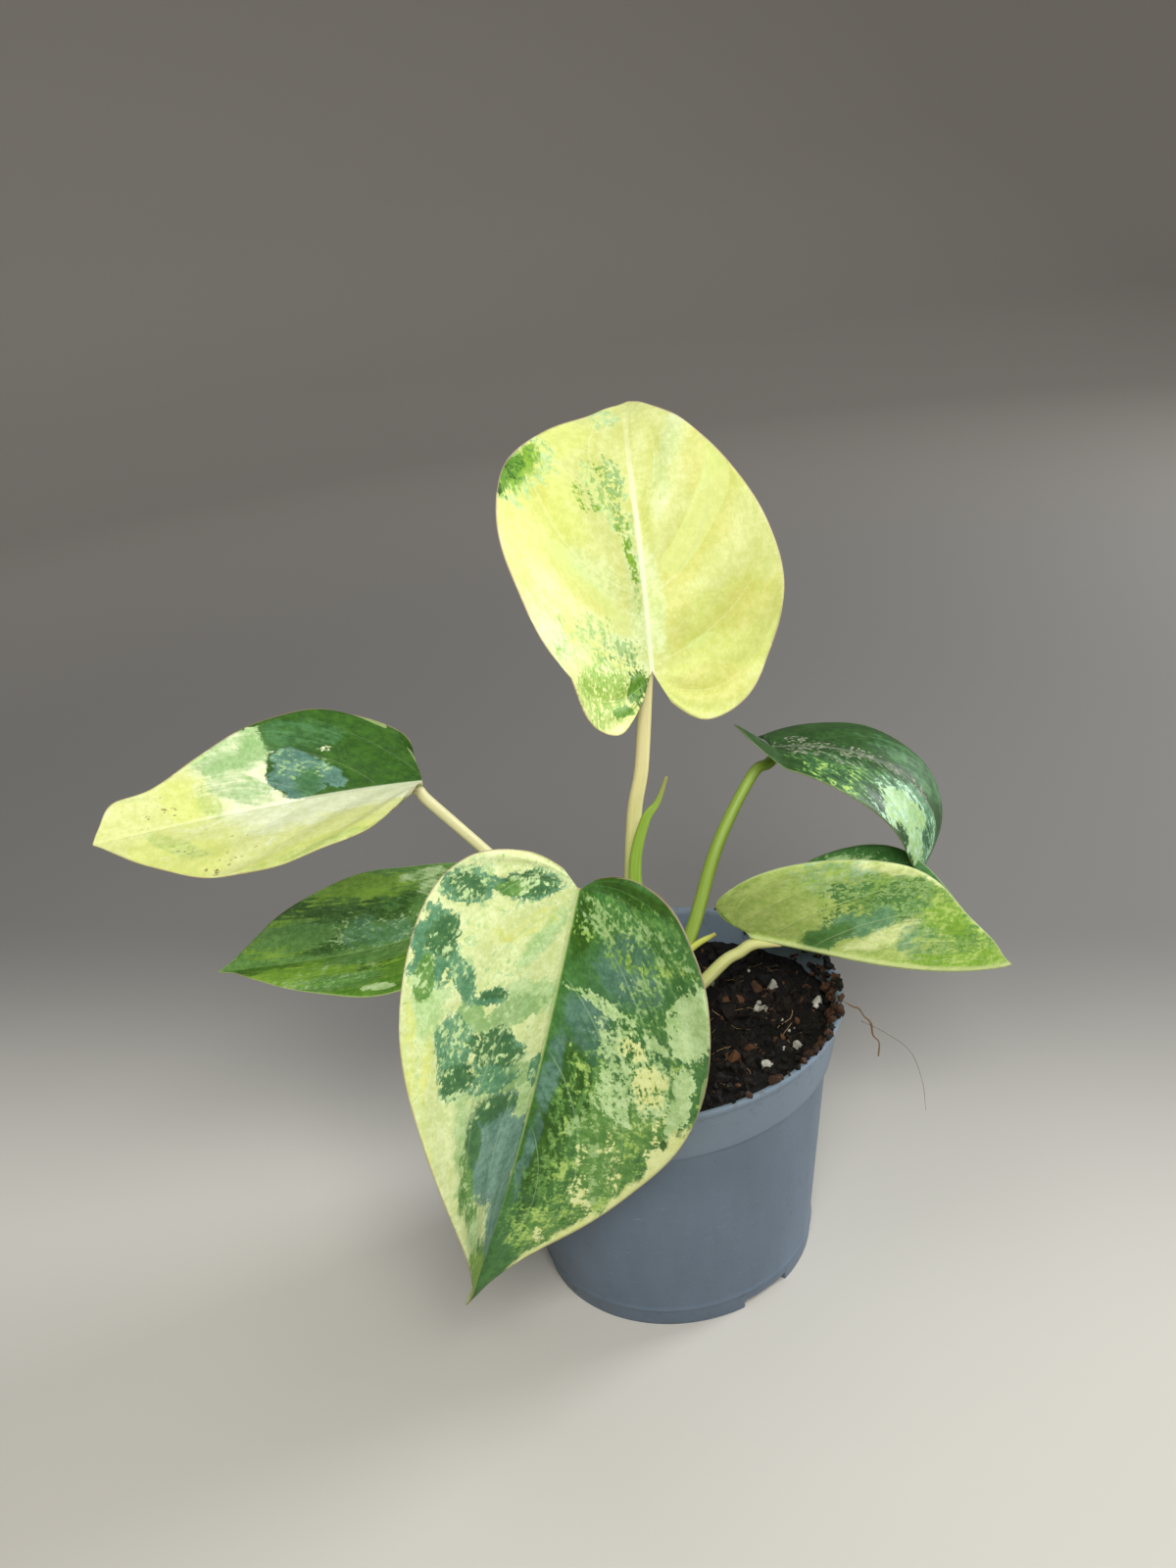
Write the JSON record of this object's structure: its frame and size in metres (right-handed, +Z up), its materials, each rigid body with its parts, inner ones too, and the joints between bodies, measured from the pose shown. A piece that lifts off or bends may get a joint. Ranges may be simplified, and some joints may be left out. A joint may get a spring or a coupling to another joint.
{
  "type": "potted philodendron",
  "caption": "Variegated heart-leaved philodendron with arching leaf stalks, standing in soil in a small tapered nursery pot.",
  "frame": {"origin": "middle of the pot's underside, on the surface it stands on", "axes": "+Z up along the pot's axis; the front leaf hangs over the rim on the -Y side, and +X is to the right seen from there"},
  "size_m": [0.1917, 0.1155, 0.1958],
  "materials": {
    "pot": "matte moulded plastic",
    "soil": "coarse peat and bark mix with white grains",
    "crown": "short stem with dry sheaths",
    "stalk": "smooth, slightly waxy",
    "shoot": "smooth, furled",
    "leaf_front": "satin, dark green mottled with cream",
    "leaf_top": "satin, cream with a few green patches",
    "leaf_upper_left": "satin, half green and half cream",
    "leaf_lower_left": "satin, streaky green",
    "leaf_upper_right": "satin, dark green with a pale blotch",
    "leaf_lower_right": "satin, pale underside"
  },
  "bodies": {
    "root": {"pot": "pot", "soil": "soil", "crown": "crown", "stalk_front": "stalk", "stalk_top": "stalk", "stalk_upper_left": "stalk", "stalk_lower_left": "stalk", "stalk_upper_right": "stalk", "stalk_lower_right": "stalk", "blade_front": "leaf_front", "blade_top": "leaf_top", "blade_upper_left": "leaf_upper_left", "blade_lower_left": "leaf_lower_left", "blade_upper_right": "leaf_upper_right", "blade_lower_right": "leaf_lower_right", "shoot": "shoot", "stub": "shoot"}
  },
  "joints": []
}
